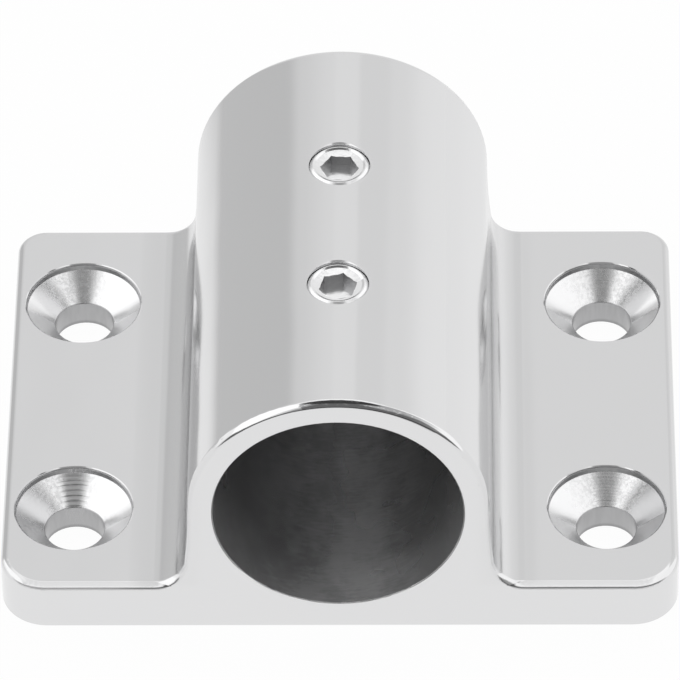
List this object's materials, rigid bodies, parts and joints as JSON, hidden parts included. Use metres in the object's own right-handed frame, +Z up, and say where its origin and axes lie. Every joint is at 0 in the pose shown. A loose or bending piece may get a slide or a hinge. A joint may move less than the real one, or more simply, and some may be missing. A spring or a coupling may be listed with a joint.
{
  "type": "tube clamp base flange",
  "caption": "Rectangular base flange with a closed-end socket along its top that takes a round tube and clamps it with set screws; countersunk fixing holes stand beside it.",
  "frame": {"origin": "middle of the underside of the flange, which is the face that lies on the surface it is bolted to", "axes": "+Z up from the mounting surface, +X across the barrel along the longer side of the flange, +Y along the barrel from its open mouth to its closed end"},
  "size_m": [0.0696, 0.054, 0.0314],
  "materials": {
    "polished_stainless": "buffed to a soft mirror, with turned marks in the bore and in the seats of the fixing holes",
    "screw_stainless": "bright dished end, darker socket"
  },
  "bodies": {
    "root": {"flange_body": "polished_stainless", "set_screw_front": "screw_stainless", "set_screw_rear": "screw_stainless"}
  },
  "joints": []
}
